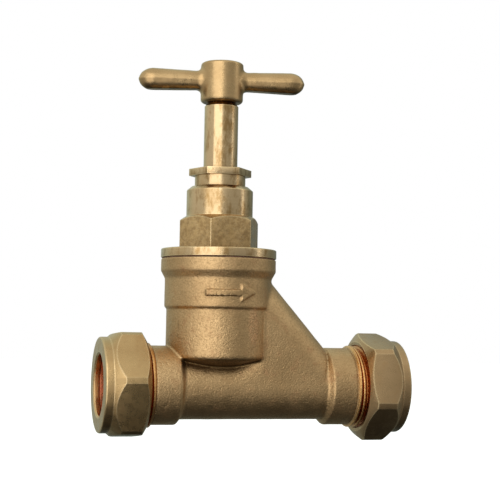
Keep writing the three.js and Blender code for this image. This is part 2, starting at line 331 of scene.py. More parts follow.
def prism(name, flat_r, low, high, turn, sides=6):
    """A regular prism about Z; a flat faces -Y before the turn."""
    corner_r = flat_r / math.cos(math.pi / sides)
    angles = [turn - math.pi / 2 + (i + 0.5) * 2 * math.pi / sides for i in range(sides)]
    ring = [(corner_r * math.cos(a), corner_r * math.sin(a)) for a in angles]
    vertices = [(x, y, low) for x, y in ring] + [(x, y, high) for x, y in ring]
    walls = [[i, (i + 1) % sides, (i + 1) % sides + sides, i + sides] for i in range(sides)]
    caps = [list(range(sides))[::-1], list(range(sides, 2 * sides))]
    return outwards(add_object(name, vertices, walls + caps))


def threaded_rod(name, low, high, grow=0.0, taper=THREAD_TAPER):
    """A right-handed thread about Z; grow makes it the matching hole's cutter."""
    count = int((high - low) / THREAD_STEP) + 1
    z = np.linspace(low, high, count)
    angle = 2 * np.pi * np.arange(THREAD_ROUND) / THREAD_ROUND
    phase = (z[:, None] / THREAD_PITCH - angle[None, :] / (2 * np.pi)) % 1
    wave = np.clip(THREAD_FLANK * (np.abs(2 * phase - 1) - 0.5), -1, 1)
    wave = np.sin(wave * np.pi / 2)
    depth = THREAD_CREST_R - THREAD_ROOT_R
    radius = (THREAD_CREST_R + THREAD_ROOT_R) / 2 + grow + wave * depth / 2
    if taper:
        lead_in = THREAD_ROOT_R + grow + (high - z) * (depth + 0.1) / taper
        radius = np.minimum(radius, lead_in[:, None])
    x, y = radius * np.cos(angle), radius * np.sin(angle)
    vertices = [(x[k, i], y[k, i], z[k]) for k in range(count) for i in range(THREAD_ROUND)]
    faces = []
    for k in range(count - 1):
        here, above = k * THREAD_ROUND, (k + 1) * THREAD_ROUND
        for i in range(THREAD_ROUND):
            j = (i + 1) % THREAD_ROUND
            faces.append([here + i, here + j, above + j, above + i])
    top = (count - 1) * THREAD_ROUND
    faces += [list(range(THREAD_ROUND))[::-1], [top + i for i in range(THREAD_ROUND)]]
    return outwards(add_object(name, vertices, faces))


# ---- solids from distance fields, for cast and forged shapes ----

class Field:
    """A grid of points in millimetres that distances are worked out on."""

    def __init__(self, low, high, step):
        self.low, self.step = np.array(low, float), step
        axes = [np.arange(a, b + step, step, dtype=np.float32) for a, b in zip(low, high)]
        self.x, self.y, self.z = np.meshgrid(*axes, indexing="ij")

    def mesh(self, name, distance):
        """The surface where the distance is zero."""
        grid = openvdb.FloatGrid(background=float(10 * self.step))
        grid.copyFromArray(np.ascontiguousarray(distance, dtype=np.float32))
        points, quads = grid.convertToQuads(0.0)
        return outwards(add_object(name, points * self.step + self.low, quads[:, ::-1].tolist()))


def outline_distance(u, v, outline):
    """Signed distance in a plane to a closed outline."""
    points = np.array(outline, np.float32)
    nearest = np.full(u.shape, 1e6, np.float32)
    inside = np.zeros(u.shape, bool)
    for (ax, ay), (bx, by) in zip(points, np.roll(points, -1, 0)):
        ex, ey = bx - ax, by - ay
        length = ex * ex + ey * ey
        if length < 1e-12:
            continue
        t = np.clip(((u - ax) * ex + (v - ay) * ey) / length, 0, 1)
        nearest = np.minimum(nearest, (u - ax - t * ex) ** 2 + (v - ay - t * ey) ** 2)
        if abs(ey) > 1e-9:
            crosses = (ay > v) != (by > v)
            inside ^= crosses & (u < ax + (v - ay) * ex / ey)
    return np.where(inside, -np.sqrt(nearest), np.sqrt(nearest))


def blend_union(a, b, k):
    """The union of two distances with a fillet of about k."""
    h = np.maximum(k - np.abs(a - b), 0) / k
    return np.minimum(a, b) - h * h * k / 4


def sloping_distance(field, radius):
    """Distance to the round bar along the sloping outlet."""
    along = -(field.x - SLOPE_FOOT) * math.cos(SLOPE) + field.z * math.sin(SLOPE)
    across = (field.x - SLOPE_FOOT) * math.sin(SLOPE) + field.z * math.cos(SLOPE)
    side = np.hypot(across, field.y) - radius
    ends = np.maximum(-along, along - SLOPE_LENGTH)
    return np.maximum(side, ends)


def roughened(obj, size, amount, seed):
    """Moves each vertex along its normal by smooth noise, as a casting's skin lies."""
    vertices = obj.data.vertices
    places = np.empty(3 * len(vertices), np.float32)
    normals = np.empty(3 * len(vertices), np.float32)
    vertices.foreach_get("co", places)
    obj.data.vertex_normals.foreach_get("vector", normals)
    offset = Vector((seed, 0, 0))
    pushes = [
        noise.fractal(Vector(place) / (size * MM) + offset, 1.0, 2.0, 3)
        for place in places.reshape(-1, 3)
    ]
    places += np.repeat(np.array(pushes, np.float32) * amount * MM, 3) * normals
    vertices.foreach_set("co", places)
    obj.data.update()
    return obj


# ---- the body casting ----

def tube_outline():
    """The body's tube with a collar at each end, as an (r, x) outline."""
    return rounded([
        (0, INLET_COLLAR[0]), (COLLAR_R, INLET_COLLAR[0], 0.3), (COLLAR_R, INLET_COLLAR[1], 0.6),
        (TUBE_R, INLET_COLLAR[1] + COLLAR_SLOPE, 0.5), (TUBE_R, OUTLET_COLLAR[0] - 1.2, 0.8),
        (COLLAR_R, OUTLET_COLLAR[0], 0.5), (COLLAR_R, OUTLET_COLLAR[1], 0.3), (0, OUTLET_COLLAR[1]),
    ])


def cup_outline():
    """The round cup under the bonnet, with its step and flange, as an (r, z) outline."""
    return rounded([
        (0, CUP_LOW - CUP_DISH), (CUP_R, CUP_LOW, 1.3), (CUP_R, BAND[0] - 0.4, 0.3),
        (BAND_R, BAND[0] + 0.2, 0.3), (BAND_R, BAND[1], 1.2),
        (FLANGE_R - 0.1, FLANGE_LOW - 0.5, 0.6), (FLANGE_R - 0.1, BODY_TOP, 0.15), (0, BODY_TOP),
    ])


def arrow_outline():
    """The flow arrow, pointing to the outlet, as an (x, z) outline."""
    tip, neck, stem, head, z = 6.2, 2.4, 0.7, 2.1, 22.9
    return [
        (-tip, z - stem), (neck, z - stem), (neck, z - head), (tip, z),
        (neck, z + head), (neck, z + stem), (-tip, z + stem),
    ]


def casting_distance(field):
    """The outer shape of the casting."""
    x, y, z = field.x, field.y, field.z
    tube = outline_distance(np.hypot(y, z), x, tube_outline())
    slope = sloping_distance(field, TUBE_R)
    run, rise = SLOPE_LENGTH * math.cos(SLOPE), SLOPE_LENGTH * math.sin(SLOPE)
    corner = SLOPE_FOOT - run
    fade = np.clip((x - WEB_FADE[0]) / (WEB_FADE[1] - WEB_FADE[0]), 0, 1)
    fade = fade * fade * (3 - 2 * fade)
    round_half = np.sqrt(TUBE_R ** 2 - np.clip(z, 0, CUP_LOW) ** 2)
    half = round_half + (TUBE_R - round_half) * fade
    web = outline_distance(x, z, [(WEB_START, 0), (SLOPE_FOOT, 0), (corner, rise), (WEB_START, rise)])
    web = np.maximum(web, np.abs(y) - half)
    outlet = np.minimum(np.minimum(slope, web), tube)
    from_axis = np.hypot(x, y)
    cup = outline_distance(from_axis, z, cup_outline())
    body = blend_union(cup, outlet, CUP_FILLET)
    arrow = outline_distance(x, z, arrow_outline())
    arrow = np.maximum(arrow, from_axis - BAND_R - ARROW_RELIEF)
    arrow = np.maximum(arrow, BAND_R - 2 - from_axis)
    return blend_union(body, arrow, ARROW_FILLET)


def pipe_end(name, collar_end, end):
    """A threaded end along +Z, solid until its socket is cut."""
    root = turned(name, [
        (0, collar_end - 3), (COLLAR_R - 1, collar_end - 3), (COLLAR_R - 0.2, collar_end - 0.3),
        (THREAD_CREST_R, collar_end + 0.35, 0.1), (THREAD_CREST_R, collar_end + 0.6),
        (THREAD_ROOT_R, collar_end + 1.2), (THREAD_ROOT_R - 0.2, end - 0.4), (0, end - 0.4),
    ])
    return join(root, threaded_rod(name + "_thread", collar_end + 0.2, end))


def socket_cutter(name, end):
    """The pipe socket and the cone in its mouth, opening along +Z."""
    slope = (MOUTH_R - PIPE_R) / MOUTH_DEPTH
    return turned(name, [
        (0, end - SOCKET_DEPTH), (PIPE_R, end - SOCKET_DEPTH, 0.2), (PIPE_R, end - MOUTH_DEPTH),
        (MOUTH_R + slope * PAST, end + PAST), (0, end + PAST),
    ])


def sloping_way():
    """Cutter for the passage from the chamber down the sloping outlet."""
    way = rod("sloping_way", SLOPE_BORE_R, 1, SLOPE_LENGTH)
    turn = Matrix.Rotation(SLOPE - math.pi / 2, 4, "Y")
    shift = Vector((math.sin(SLOPE), 0, math.cos(SLOPE))) * SLOPE_BORE_SHIFT
    return moved(way, Matrix.Translation(Vector((SLOPE_FOOT, 0, 0)) + shift) @ turn)


def valve_body():
    """The casting with its threaded ends, chamber, seat and passages."""
    low = (INLET_COLLAR[0] - 1, -FLANGE_R - 1, -COLLAR_R - 1)
    high = (OUTLET_COLLAR[1] + 1, FLANGE_R + 1, BODY_TOP + 1)
    field = Field(low, high, BODY_GRID)
    body = field.mesh("body_casting", casting_distance(field))
    roughened(body, CAST_LUMP, CAST_LUMP_HEIGHT, CAST_SEED)
    inlet = moved(pipe_end("inlet_end", -INLET_COLLAR[0], -INLET_END), along_pipe(0, -1))
    outlet = moved(pipe_end("outlet_end", OUTLET_COLLAR[1], OUTLET_END), along_pipe(0))
    join(body, inlet, outlet)
    chamber = rod("chamber", CHAMBER_R, CHAMBER_LOW, BODY_TOP + PAST)
    seat = turned("seat", [
        (0, CHAMBER_LOW - PAST), (SEAT_R, CHAMBER_LOW - PAST), (SEAT_R, SEAT_TOP, 0.4), (0, SEAT_TOP),
    ])
    inlet_reach = -INLET_END - SOCKET_DEPTH + PAST
    outlet_reach = OUTLET_END - SOCKET_DEPTH + PAST
    ways = [
        moved(socket_cutter("inlet_socket", -INLET_END), along_pipe(0, -1)),
        moved(socket_cutter("outlet_socket", OUTLET_END), along_pipe(0)),
        moved(rod("inlet_way", BORE_R, -PORT_R, inlet_reach), along_pipe(0, -1)),
        moved(rod("outlet_way", BORE_R, SLOPE_FOOT - BORE_R, outlet_reach), along_pipe(0)),
        rod("port", PORT_R, 0, SEAT_TOP + PAST),
        sloping_way(),
    ]
    cut(body, chamber)
    join(body, seat)
    cut(body, *ways)
    return smooth(body, CASTING_SMOOTH)


# ---- the headwork ----

def bonnet():
    """Flange, hexagon and barrel in one turned piece, with the spindle's way through it."""
    low, top = lo("bonnet").z, hi("bonnet").z
    shell = turned("bonnet_shell", [
        (0, low), (SPIGOT_R, low, 0.4), (SPIGOT_R, BONNET_BASE),
        (FLANGE_R, BONNET_BASE, 0.12), (FLANGE_R, FLANGE_TOP, 0.3), (BARREL_R, FLANGE_TOP, 0.2),
        (BARREL_R, top - 1, 0.4), (BARREL_R - 1.2, top, 0.15), (0, top),
    ])
    hexagon = prism("bonnet_hexagon", BONNET_FLAT_R, FLANGE_TOP - 1, HEX_TOP + 2, BONNET_TURN)
    crown = turned("bonnet_crown", [
        (0, FLANGE_TOP - 2), (CROWN_R, FLANGE_TOP - 2), (CROWN_R, HEX_TOP - CROWN_DROP),
        (BARREL_R - 0.2, HEX_TOP + 0.1), (0, HEX_TOP + 0.1),
    ])
    combine(hexagon, crown, "INTERSECT")
    bevel(hexagon, 0.34)
    join(shell, hexagon)
    bore = turned("bonnet_bore", [
        (0, low - PAST), (SPIGOT_BORE_R, low - PAST), (SPIGOT_BORE_R, THREAD_BORE[0]),
        (THREAD_BORE_R, THREAD_BORE[0]), (THREAD_BORE_R, THREAD_BORE[1]),
        (STEM_HOLE_R, THREAD_BORE[1]), (STEM_HOLE_R, PACKING_FLOOR), (GLAND_BORE_R, PACKING_FLOOR),
        (GLAND_BORE_R, top - 0.3), (GLAND_BORE_R + 0.6, top + 0.3), (0, top + 0.3),
    ])
    return smooth(cut(shell, bore))


def bonnet_washer():
    """The thin dark seam between body and bonnet."""
    low, high, outer = BODY_TOP + SEAM_GAP, BONNET_BASE - SEAM_GAP, FLANGE_R - 0.35
    return smooth(turned("fibre_washer", [
        (WASHER_BORE_R, low), (outer, low, 0.1), (outer, high, 0.1), (WASHER_BORE_R, high),
    ]))


def gland_nut():
    """A thin hexagon on a round shank, bored for the stem."""
    low, top = lo("gland_nut").z, hi("gland_nut").z
    shank = turned("gland_shank", [
        (0, low), (GLAND_SHANK_R, low, 0.3), (GLAND_SHANK_R, GLAND_HEX_LOW + 0.5),
        (0, GLAND_HEX_LOW + 0.5),
    ])
    head = prism("gland_hexagon", GLAND_FLAT_R, GLAND_HEX_LOW, top, GLAND_TURN)
    bevel(head, 0.1)
    hole = turned("gland_hole", [
        (0, low - PAST), (STEM_HOLE_R, low - PAST), (STEM_HOLE_R, top - 0.25),
        (STEM_HOLE_R + 0.5, top + 0.25), (0, top + 0.25),
    ])
    return smooth(cut(join(shank, head), hole))


def spindle():
    """Stem and foot, with the square that the crutch sits on and the jumper's hole."""
    low = lo("spindle").z
    shaft = turned("spindle_shaft", [
        (0, low), (SPINDLE_FOOT_R, low, 0.5), (SPINDLE_FOOT_R, SPINDLE_FOOT_TOP, 0.4),
        (STEM_R, SPINDLE_FOOT_TOP), (STEM_R, STEM_TOP - 0.9, 0.25),
        (STEM_R - 0.85, STEM_TOP, 0.1), (0, STEM_TOP),
    ])
    tang = prism("spindle_tang", TANG_R, STEM_TOP - 1, hi("spindle").z, CRUTCH_TURN, 4)
    bevel(tang, 0.25)
    hole = turned("spindle_hole", [
        (0, low - PAST), (JUMPER_HOLE_R, low - PAST),
        (JUMPER_HOLE_R, low + JUMPER_HOLE_DEPTH, 0.3), (0, low + JUMPER_HOLE_DEPTH),
    ])
    return smooth(cut(join(shaft, tang), hole))


def crutch_distance(field):
    """Hub and arms of the crutch, in its own frame with the arms along X."""
    x, y, z = field.x, field.y, field.z
    hub = outline_distance(np.hypot(x, y), z, rounded([
        (0, STEM_TOP + 0.03), (HUB_R, STEM_TOP + 0.03, 0.9),
        (HUB_R, HUB_TOP, 0.7), (0, HUB_TOP),
    ]))
    along = np.abs(x)
    radius = ARM_ROOT_R + (ARM_END_R - ARM_ROOT_R) * np.clip(along / (ARM_REACH - ARM_TIP), 0, 1)
    past = np.maximum(along - (ARM_REACH - ARM_TIP), 0) * ARM_END_R / ARM_TIP
    height = z - ARM_Z
    arms = np.sqrt(past ** 2 + y ** 2 + height ** 2) - radius
    ridge = PARTING_RIDGE * np.exp(-(height / PARTING_WIDTH) ** 2)
    arms = np.maximum(arms - ridge, -(height + radius - ARM_FLAT))
    return blend_union(hub, arms, ARM_FILLET)


def crutch_head():
    """The forged T handle with its square hole."""
    bottom, top = lo("crutch_head").z, hi("crutch_head").z
    margin = 0.6
    low = (-ARM_REACH - margin, -HUB_R - margin, bottom - margin)
    high = (ARM_REACH + margin, HUB_R + margin, top + margin)
    field = Field(low, high, CRUTCH_GRID)
    head = field.mesh("crutch", crutch_distance(field))
    roughened(head, FORGED_LUMP, FORGED_LUMP_HEIGHT, FORGED_SEED)
    moved(head, Matrix.Rotation(CRUTCH_TURN, 4, "Z"))
    hole = prism("tang_hole", TANG_R + TANG_CLEARANCE, bottom - PAST, top + PAST, CRUTCH_TURN, 4)
    return smooth(cut(head, hole), CASTING_SMOOTH)


# ---- nuts and olives ----

def compression_nut(name, node, side, corner):
    """A nut from its mouth on, with its thread in phase with the one on the body's end."""
    mouth = lo(node).x if side > 0 else hi(node).x
    length = hi("outlet_nut").x - lo("outlet_nut").x
    shoulder = length - NUT_BOSS_LENGTH
    nut = turned(name, [
        (0, 0), (NUT_MOUTH_R, 0, 0.15), (NUT_CORNER_R, NUT_MOUTH_CHAMFER, 0.15),
        (NUT_CORNER_R, shoulder - NUT_BOSS_CHAMFER, 0.15), (NUT_BOSS_R, shoulder, 0.25),
        (NUT_BOSS_R, length, 0.45), (0, length),
    ])
    flats = prism(name + "_flats", NUT_FLAT_R, -PAST, length + PAST, -side * corner - math.pi / 6)
    combine(nut, flats, "INTERSECT")
    bevel(nut, 0.2, 20)
    bore = turned(name + "_bore", [
        (0, -PAST), (THREAD_CREST_R + 1.6, -PAST), (NUT_MINOR_R, 0.9), (NUT_MINOR_R, NUT_SEAT[0]),
        (NUT_SEAT_R, NUT_SEAT[0]), (PIPE_R, NUT_SEAT[1], 0.2),
        (PIPE_R, length - 0.4, 0.15), (PIPE_R + 0.8, length + 0.4), (0, length + 0.4),
    ])
    cut(nut, bore)
    moved(nut, along_pipe(mouth, side))
    low, high = side * mouth + TAP_START, side * mouth + NUT_SEAT[0] - TAP_STOP
    tap = threaded_rod(name + "_tap", low, high, THREAD_CLEARANCE, taper=0)
    cut(nut, moved(tap, along_pipe(0, side)))
    return smooth(nut)


def olive(name, node, side):
    """A copper olive, pinched at its outer end into the cone of its nut."""
    low, high = lo(node), hi(node)
    length = high.x - low.x
    inner_end = low.x if side > 0 else high.x
    pinched = length + OLIVE_PINCH_LENGTH
    ring = turned(name, [
        (OLIVE_R, 0, 0.15), (OLIVE_END_R, 0, 0.2),
        (high.z, OLIVE_SHOULDER, 0.8), (high.z, length - OLIVE_SHOULDER, 0.8),
        (OLIVE_PINCH[0], length, 0.1), (OLIVE_PINCH[1], pinched, 0.05), (OLIVE_R, pinched, 0.05),
    ])
    return smooth(moved(ring, along_pipe(inner_end, side)))


# ---- materials ----

class Nodes:
    """Builds a material's nodes in a few words; positions are in millimetres."""

    def __init__(self, name):
        self.material = bpy.data.materials.new(name)
        self.material.use_nodes = True
        self.tree = self.material.node_tree
        self.shader = self.tree.nodes["Principled BSDF"]
        metres = self.node("ShaderNodeTexCoord").outputs["Object"]
        self.place = self.mapped(metres, (1 / MM, 1 / MM, 1 / MM))

    def node(self, kind, **settings):
        node = self.tree.nodes.new(kind)
        for key, value in settings.items():
            setattr(node, key, value)
        return node

    def link(self, source, target):
        self.tree.links.new(source, target)

    def put(self, socket, value):
        """Links another node's output to a socket, or sets a plain value on it."""
        if isinstance(value, bpy.types.NodeSocket):
            self.link(value, socket)
        else:
            socket.default_value = value

    def mapped(self, vector, scale, shift=(0, 0, 0)):
        node = self.node("ShaderNodeMapping")
        self.link(vector, node.inputs["Vector"])
        node.inputs["Location"].default_value = shift
        node.inputs["Scale"].default_value = scale
        return node.outputs["Vector"]

    def noise(self, scale, detail=2.0, roughness=0.5, vector=None, shift=0.0):
        """Noise from 0 to 1; the scale is in cycles per millimetre."""
        node = self.node("ShaderNodeTexNoise")
        place = self.mapped(vector or self.place, (1, 1, 1), (shift, shift, shift))
        self.link(place, node.inputs["Vector"])
        node.inputs["Scale"].default_value = scale
        node.inputs["Detail"].default_value = detail
        node.inputs["Roughness"].default_value = roughness
        return node.outputs["Fac"]

    def ramp(self, value, low, high, at_low=0.0, at_high=1.0):
        """A smooth step between two levels as the value goes from low to high."""
        node = self.node("ShaderNodeMapRange", interpolation_type="SMOOTHSTEP")
        self.put(node.inputs["Value"], value)
        node.inputs["From Min"].default_value = low
        node.inputs["From Max"].default_value = high
        node.inputs["To Min"].default_value = at_low
        node.inputs["To Max"].default_value = at_high
        return node.outputs["Result"]

    def math(self, operation, a, b=0.0):
        node = self.node("ShaderNodeMath", operation=operation)
        self.put(node.inputs[0], a)
        self.put(node.inputs[1], b)
        return node.outputs["Value"]

    def mix(self, amount, a, b):
        """Colour a where the amount is 0 and colour b where it is 1."""
        node = self.node("ShaderNodeMix", data_type="RGBA")
        self.put(node.inputs["Factor"], amount)
        for socket, value in ((node.inputs[6], a), (node.inputs[7], b)):
            self.put(socket, (*value, 1) if isinstance(value, tuple) else value)
        return node.outputs[2]

    def axes(self):
        """The three coordinates of a point of the piece."""
        node = self.node("ShaderNodeSeparateXYZ")
        self.link(self.place, node.inputs["Vector"])
        return node.outputs["X"], node.outputs["Y"], node.outputs["Z"]

    def from_axis(self, a, b):
        """Distance from an axis, out of the two coordinates across it."""
        squares = self.math("ADD", self.math("MULTIPLY", a, a), self.math("MULTIPLY", b, b))
        return self.math("SQRT", squares)

    def turning_place(self, axis):
        """Coordinates that stretch noise into rings round an axis."""
        x, y, z = self.axes()
        along = {"Z": z, "X": x}[axis]
        side_a, side_b = {"Z": (x, y), "X": (y, z)}[axis]
        node = self.node("ShaderNodeCombineXYZ")
        self.link(self.from_axis(side_a, side_b), node.inputs["X"])
        self.link(along, node.inputs["Y"])
        self.link(self.math("MULTIPLY", side_a, RING_DRIFT), node.inputs["Z"])
        return node.outputs["Vector"]

    def edge_highlight(self, radius=0.35):
        """About 1 on convex edges and 0 on flat skin; it places a painted highlight along edges."""
        geometry = self.node("ShaderNodeNewGeometry")
        bevel = self.node("ShaderNodeBevel", samples=4)
        bevel.inputs["Radius"].default_value = radius * MM
        product = self.node("ShaderNodeVectorMath", operation="DOT_PRODUCT")
        self.link(bevel.outputs["Normal"], product.inputs[0])
        self.link(geometry.outputs["Normal"], product.inputs[1])
        return self.ramp(product.outputs["Value"], 0.998, 0.95)

    def crevices(self, distance=2.5):
        """About 1 deep in corners and holes and 0 on open skin."""
        node = self.node("ShaderNodeAmbientOcclusion", samples=6)
        node.inputs["Distance"].default_value = distance * MM
        return self.ramp(node.outputs["AO"], 0.85, 0.4)

    def facing_down(self, start, full):
        """0 where the normal's height is above the start, 1 where it is below full."""
        split = self.node("ShaderNodeSeparateXYZ")
        self.link(self.node("ShaderNodeNewGeometry").outputs["Normal"], split.inputs["Vector"])
        return self.ramp(split.outputs["Z"], start, full)

    def open_only(self, value, crevices, amount):
        """A value scaled by an amount, and gone inside crevices."""
        return self.math("MULTIPLY", value, self.ramp(crevices, 0, 0.25, amount, 0))

    def near(self, centre, reach):
        """About 1 close to a point of the piece and 0 past the reach along each axis."""
        shift = self.node("ShaderNodeVectorMath", operation="SUBTRACT")
        self.link(self.place, shift.inputs[0])
        shift.inputs[1].default_value = centre
        scale = self.node("ShaderNodeVectorMath", operation="DIVIDE")
        self.link(shift.outputs["Vector"], scale.inputs[0])
        scale.inputs[1].default_value = reach
        length = self.node("ShaderNodeVectorMath", operation="LENGTH")
        self.link(scale.outputs["Vector"], length.inputs[0])
        return self.ramp(length.outputs["Value"], 1.0, 0.55)

    def bump(self, height, distance, over=None):
        """Relief of so many millimetres, on top of another bump if one is given."""
        node = self.node("ShaderNodeBump")
        self.link(height, node.inputs["Height"])
        node.inputs["Distance"].default_value = distance * MM
        node.inputs["Strength"].default_value = 1.0
        if over:
            self.link(over, node.inputs["Normal"])
        return node.outputs["Normal"]

    def finish(self, color, roughness, normal=None, metallic=1.0):
        """Fills the shader in and gives the material."""
        self.put(self.shader.inputs["Base Color"], color)
        self.put(self.shader.inputs["Roughness"], roughness)
        if normal:
            self.link(normal, self.shader.inputs["Normal"])
        self.shader.inputs["Metallic"].default_value = metallic
        return self.material


# Colours as the metal reflects them, then the places of marks on the front of the cup.

CAST_TINT = (0.635, 0.42, 0.21)
CAST_BROWN = (0.54, 0.35, 0.17)
CAST_DARK = (0.36, 0.22, 0.10)
COPPERY = (0.50, 0.28, 0.14)
COPPERY_BRIGHT = (0.72, 0.42, 0.22)
BRIGHT_TINT = (0.68, 0.49, 0.275)
BRIGHT_STAIN = (0.54, 0.345, 0.15)
# painted reflection of the dark room, in vertical streaks on turned brass
REFLECTION_BROWN = (0.37, 0.215, 0.075)
DULL_TINTS = (0.60, 0.395, 0.18), (0.40, 0.25, 0.11)
# painted highlight along the edges of turned and forged brass
EDGE_TINT = (0.88, 0.67, 0.38)
AMBER = (0.78, 0.44, 0.17)          # painted reflection: cut brass coloured as if it reflects more brass
# painted shade on that painted reflection, deep in corners
SHADED_AMBER = (0.50, 0.18, 0.05)
# painted shade deep in the corners of turned and forged brass
CORNER_SHADE = (0.40, 0.25, 0.11)
# painted shade: near-black brown under the cup, in corners and on faces turned down
SHADE_BROWN = (0.13, 0.075, 0.03)
FORGED_STAIN = (0.44, 0.265, 0.12)
INLET_TINTS = (0.59, 0.395, 0.185), (0.51, 0.33, 0.15)
OUTLET_TINTS = (0.49, 0.325, 0.17), (0.43, 0.28, 0.14)
HEAD_TINTS = (0.57, 0.385, 0.19), (0.49, 0.32, 0.15)
COPPER_TINTS = (0.80, 0.33, 0.16), (0.64, 0.20, 0.10)
FIBRE_TINTS = (0.11, 0.052, 0.028), (0.20, 0.10, 0.055)
PACKING_TINTS = (0.74, 0.73, 0.68), (0.60, 0.58, 0.52)
RUBBER_TINTS = (0.018, 0.017, 0.016), (0.035, 0.033, 0.031)
CARD_TINTS = (0.80, 0.80, 0.79), (0.84, 0.84, 0.83)

COPPERY_PATCH = (6.3, -11.2, 15)
COPPERY_REACH = (2.2, 2.2, 6)
SCRATCH = (-11.4, -5.9, 14)
SCRATCH_REACH = (0.35, 0.6, 2.6)

RING_DRIFT = 0.02                   # how slowly a turned piece's rings change round it
RING_DEPTH = 0.012
POLISH = 0.155                      # roughness of the polished brass


def shade_under_cup(n):
    """About 1 on the floor of the cup and along its joint with the tube, where painted shade goes."""
    x, y, z = n.axes()
    from_axis = n.from_axis(x, y)
    floor = CUP_LOW - CUP_DISH
    fall = n.math("MULTIPLY", from_axis, CUP_DISH / CUP_R)
    cone = n.ramp(n.math("SUBTRACT", z, fall), floor - 0.7, floor - 0.3)
    below = n.ramp(z, CUP_LOW + 0.7, CUP_LOW - 0.1)
    within = n.ramp(from_axis, CUP_R + 0.1, CUP_R - 1)
    return n.math("MULTIPLY", cone, n.math("MULTIPLY", below, within))


def cut_ends(n):
    """1 on the body's threaded ends and in its sockets, which are machined."""
    middle = (INLET_COLLAR[0] + OUTLET_COLLAR[1]) / 2
    start = OUTLET_COLLAR[1] - middle
    from_middle = n.math("ABSOLUTE", n.math("SUBTRACT", n.axes()[0], middle))
    return n.ramp(from_middle, start - 0.1, start + 0.2)


def cast_brass():
    """Shot-blasted casting: fine grain, coppery patches, painted shade in its corners and under the
    cup, a painted highlight on its edges and a painted reflection in its machined ends.
    """
    n = Nodes("cast_brass")
    crevices = n.crevices(3)
    broad = n.noise(0.09, 3.0, 0.55)
    blotch = n.noise(0.33, 4.0, 0.6, shift=7)
    grain = n.noise(2.4, 3.0, 0.65)
    pits = n.noise(1.15, 2.0, 0.5, shift=31)
    color = n.mix(n.ramp(broad, 0.35, 0.7), CAST_TINT, CAST_BROWN)
    color = n.mix(n.ramp(blotch, 0.54, 0.78, 0, 0.7), color, COPPERY)
    color = n.mix(n.ramp(grain, 0.4, 0.72, 0, 0.6), color, CAST_DARK)
    spots = n.ramp(n.noise(2.8, 4, 0.75), 0.36, 0.6)
    coppery = n.math("MULTIPLY", n.near(COPPERY_PATCH, COPPERY_REACH), spots)
    color = n.mix(n.math("MULTIPLY", coppery, 0.75), color, COPPERY_BRIGHT)
    breaks = n.ramp(n.noise(1.7, 3, 0.7), 0.35, 0.55)
    scratch = n.math("MULTIPLY", n.near(SCRATCH, SCRATCH_REACH), breaks)
    color = n.mix(n.math("MULTIPLY", scratch, 0.8), color, CAST_DARK)
    # Painted shade: the casting darkened under the cup and deep in its corners.
    painted_shade = n.math("MAXIMUM", shade_under_cup(n), crevices)
    color = n.mix(n.math("MULTIPLY", painted_shade, 0.93), color, SHADE_BROWN)
    # Painted highlight along the casting's edges, kept out of the painted shade.
    color = n.mix(n.open_only(n.edge_highlight(), painted_shade, 0.6), color, BRIGHT_TINT)
    machined = cut_ends(n)
    # Painted reflection of brass in the machined ends, with painted shade in their corners.
    color = n.mix(machined, color, n.mix(crevices, AMBER, SHADED_AMBER))
    uneven = n.ramp(grain, 0.3, 0.7, -0.05, 0.06)
    roughness = n.math("ADD", n.ramp(blotch, 0.35, 0.75, 0.38, 0.50), uneven)
    roughness = n.math("SUBTRACT", roughness, n.math("MULTIPLY", machined, 0.2))
    normal = n.bump(grain, 0.1)
    normal = n.bump(n.ramp(pits, 0.28, 0.45), 0.028, over=normal)
    normal = n.bump(coppery, 0.06, over=normal)
    return n.finish(color, roughness, normal)


def dull_stretch(n, color, roughness, low, high):
    """Greyer, mottled metal between two heights: the bonnet's spanner flats."""
    height = n.axes()[2]
    above = n.ramp(height, low - 0.05, low + 0.05)
    between = n.math("MULTIPLY", above, n.ramp(height, high, high + 0.4, 1, 0))
    dull = n.math("MULTIPLY", between, n.ramp(n.noise(2.2, 4, 0.7), 0.3, 0.6, 0.55, 1))
    mottle = n.ramp(n.noise(0.8, 5.0, 0.75, shift=9), 0.4, 0.6)
    color = n.mix(dull, color, n.mix(mottle, *DULL_TINTS))
    return color, n.math("ADD", roughness, n.math("MULTIPLY", dull, 0.12))


def turned_brass(name, dull=None):
    """Brass machined about Z: the tool's fine rings, stains, painted dark reflections in vertical
    streaks, painted shade in corners, a painted highlight on edges, and a dull stretch if one is
    given.
    """
    n = Nodes(name)
    place = n.turning_place("Z")
    lines = n.noise(9.0, 3.0, 0.7, vector=place)
    bands = n.noise(1.4, 2.0, 0.5, vector=place, shift=3)
    stain = n.noise(0.16, 4.0, 0.6, shift=17)
    # Painted reflection: dark brown vertical streaks where the turned brass would mirror a dark room.
    dark_reflection = n.noise(0.4, 5.0, 0.7, vector=n.mapped(n.place, (1, 1, 0.4)), shift=51)
    color = n.mix(n.ramp(stain, 0.48, 0.72, 0, 0.5), BRIGHT_TINT, BRIGHT_STAIN)
    color = n.mix(n.ramp(dark_reflection, 0.45, 0.66, 0, 0.85), color, REFLECTION_BROWN)
    crevices = n.crevices(1.6)
    # Painted shade deep in corners.
    color = n.mix(n.math("MULTIPLY", crevices, 0.55), color, CORNER_SHADE)
    stained = n.ramp(stain, 0.4, 0.75, POLISH, POLISH + 0.14)
    roughness = n.math("ADD", stained, n.ramp(bands, 0.3, 0.7, -0.03, 0.05))
    if dull:
        color, roughness = dull_stretch(n, color, roughness, *dull)
    # Painted highlight along edges.
    color = n.mix(n.open_only(n.edge_highlight(0.5), crevices, 1.0), color, EDGE_TINT)
    normal = n.bump(lines, RING_DEPTH)
    normal = n.bump(bands, RING_DEPTH * 1.5, over=normal)
    return n.finish(color, roughness, normal)


